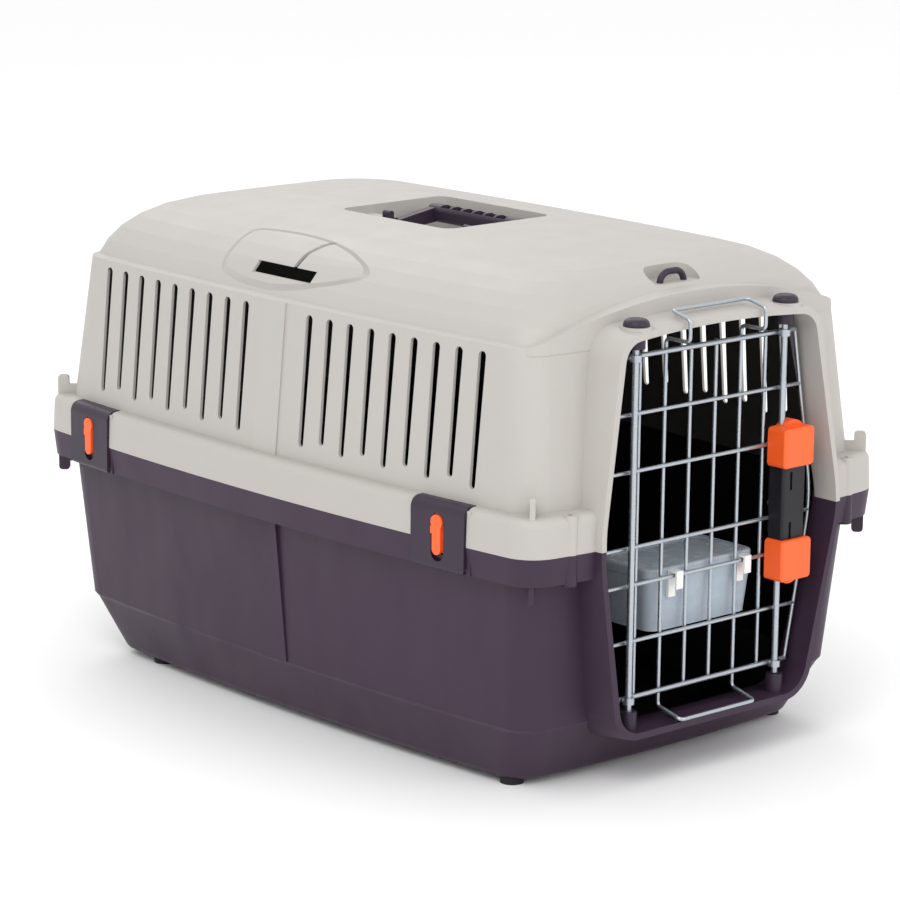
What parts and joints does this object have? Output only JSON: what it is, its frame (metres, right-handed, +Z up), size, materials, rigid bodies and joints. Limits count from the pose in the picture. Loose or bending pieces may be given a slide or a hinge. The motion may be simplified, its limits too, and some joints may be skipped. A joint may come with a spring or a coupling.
{
  "type": "pet transport carrier",
  "caption": "Two-part plastic pet carrier with side vents, wire door and spring latch, hasps with locks, folding roof handle, lead loop and hanging storage box.",
  "frame": {"origin": "on the floor under the middle of the carrier's overall box", "axes": "+Z up; -Y towards the wire door; +X towards the door's latch side; Y is the long way"},
  "size_m": [0.4, 0.61, 0.3845],
  "materials": {
    "light_grey_shell": "satin",
    "dark_shell": "satin",
    "dark_hardware": "satin",
    "orange_grips": "satin",
    "black_latch": "satin",
    "zinc_wire": "bright zinc",
    "steel_pins": "satin",
    "clear_box": "translucent",
    "white_hooks": "gloss",
    "foot_rubber": "matte"
  },
  "bodies": {
    "carrier": {"base_shell": "dark_shell", "top_shell": "light_grey_shell", "feet": "foot_rubber", "lead_loop": "dark_hardware", "handle_pins": "steel_pins", "hasp_pins": "steel_pins", "rod_caps": "dark_hardware", "rod_sockets": "dark_hardware"},
    "handle": {"carry_handle": "dark_hardware"},
    "door": {"door_mesh": "zinc_wire", "door_top_hook": "zinc_wire", "door_sill_hook": "zinc_wire", "door_hinge_rod": "zinc_wire", "latch_housing": "black_latch", "latch_back_plate": "black_latch", "latch_screws": "steel_pins", "latch_spring_upper": "steel_pins", "latch_spring_lower": "steel_pins"},
    "latch_upper": {"latch_grip_upper": "orange_grips", "latch_rod_upper": "zinc_wire"},
    "latch_lower": {"latch_grip_lower": "orange_grips", "latch_rod_lower": "zinc_wire"},
    "box": {"storage_box": "clear_box", "storage_box_hooks": "white_hooks", "storage_box_pin": "clear_box"},
    "box_lid": {"storage_box_lid": "clear_box"},
    "hasp_right_rear": {"hasp_right_rear": "dark_hardware"},
    "lock_right_rear": {"lock_right_rear": "orange_grips"},
    "hasp_left_rear": {"hasp_left_rear": "dark_hardware"},
    "lock_left_rear": {"lock_left_rear": "orange_grips"},
    "hasp_right_front": {"hasp_right_front": "dark_hardware"},
    "lock_right_front": {"lock_right_front": "orange_grips"},
    "hasp_left_front": {"hasp_left_front": "dark_hardware"},
    "lock_left_front": {"lock_left_front": "orange_grips"}
  },
  "joints": [
    {"name": "handle_hinge", "type": "hinge", "parent": "carrier", "child": "handle", "pos_m": [-0.022, 0, 0.3715], "axis": [0, -1, 0], "range_deg": [0, 90]},
    {"name": "door_hinge", "type": "hinge", "parent": "carrier", "child": "door", "pos_m": [-0.0785, -0.2866, 0.193], "axis": [0, 0, -1], "range_deg": [0, 110]},
    {"name": "latch_upper_slide", "type": "slide", "parent": "door", "child": "latch_upper", "axis": [0, 0, 1], "range_m": [0, 0.009], "stiffness_N_per_m": 300, "springref_m": 0.012, "deforming": ["latch_spring_upper"]},
    {"name": "latch_lower_slide", "type": "slide", "parent": "door", "child": "latch_lower", "axis": [0, 0, -1], "range_m": [0, 0.009], "stiffness_N_per_m": 300, "springref_m": 0.012, "deforming": ["latch_spring_lower"]},
    {"name": "box_lift", "type": "slide", "parent": "door", "child": "box", "axis": [0, 0, 1], "range_m": [0, 0.016]},
    {"name": "box_lid_hinge", "type": "hinge", "parent": "box", "child": "box_lid", "pos_m": [0.0105, -0.2094, 0.1504], "axis": [-1, 0, 0], "range_deg": [0, 95]},
    {"name": "hasp_right_rear_hinge", "type": "hinge", "parent": "carrier", "child": "hasp_right_rear", "pos_m": [0.18916, 0.2208, 0.171], "axis": [-0.0737, 0.9973, 0], "range_deg": [0, 110]},
    {"name": "lock_right_rear_slide", "type": "slide", "parent": "hasp_right_rear", "child": "lock_right_rear", "axis": [0, 0, -1], "range_m": [0, 0.0045]},
    {"name": "hasp_left_rear_hinge", "type": "hinge", "parent": "carrier", "child": "hasp_left_rear", "pos_m": [-0.18916, 0.2208, 0.171], "axis": [-0.0737, -0.9973, 0], "range_deg": [0, 110]},
    {"name": "lock_left_rear_slide", "type": "slide", "parent": "hasp_left_rear", "child": "lock_left_rear", "axis": [0, 0, -1], "range_m": [0, 0.0045]},
    {"name": "hasp_right_front_hinge", "type": "hinge", "parent": "carrier", "child": "hasp_right_front", "pos_m": [0.19043, -0.20282, 0.171], "axis": [0.0677, 0.9977, 0], "range_deg": [0, 110]},
    {"name": "lock_right_front_slide", "type": "slide", "parent": "hasp_right_front", "child": "lock_right_front", "axis": [0, 0, -1], "range_m": [0, 0.0045]},
    {"name": "hasp_left_front_hinge", "type": "hinge", "parent": "carrier", "child": "hasp_left_front", "pos_m": [-0.19043, -0.20282, 0.171], "axis": [0.0677, -0.9977, 0], "range_deg": [0, 110]},
    {"name": "lock_left_front_slide", "type": "slide", "parent": "hasp_left_front", "child": "lock_left_front", "axis": [0, 0, -1], "range_m": [0, 0.0045]}
  ]
}
